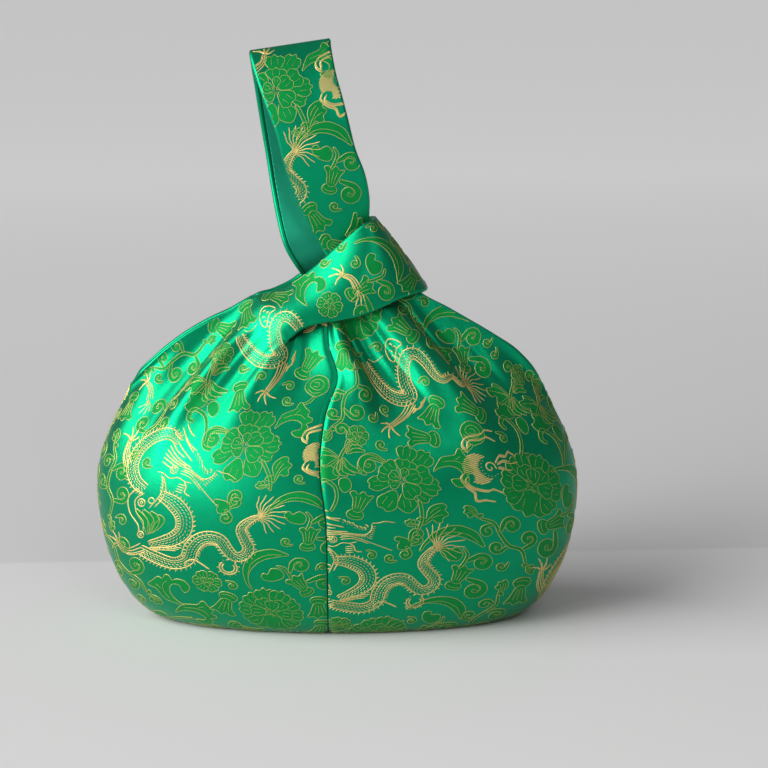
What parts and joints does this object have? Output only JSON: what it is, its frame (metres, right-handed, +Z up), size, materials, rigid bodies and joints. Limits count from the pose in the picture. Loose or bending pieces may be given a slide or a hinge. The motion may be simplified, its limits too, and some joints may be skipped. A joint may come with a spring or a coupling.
{
  "type": "knot bag",
  "caption": "Small knot bag in green satin brocade with gold dragons and peonies, its long handle pulled through the short one.",
  "frame": {"origin": "centre of the base, on the surface that the bag stands on", "axes": "+Z up, +Y towards the bag's back, +X towards the half that carries the long handle"},
  "size_m": [0.2, 0.088, 0.2405],
  "materials": {
    "brocade": "satin",
    "lining": "satin",
    "gold_thread": "satin",
    "leaf_silk": "satin"
  },
  "bodies": {
    "root": {"outer_short_side": "brocade", "outer_long_side": "brocade", "lining_short_side": "lining", "lining_long_side": "lining"}
  },
  "joints": []
}
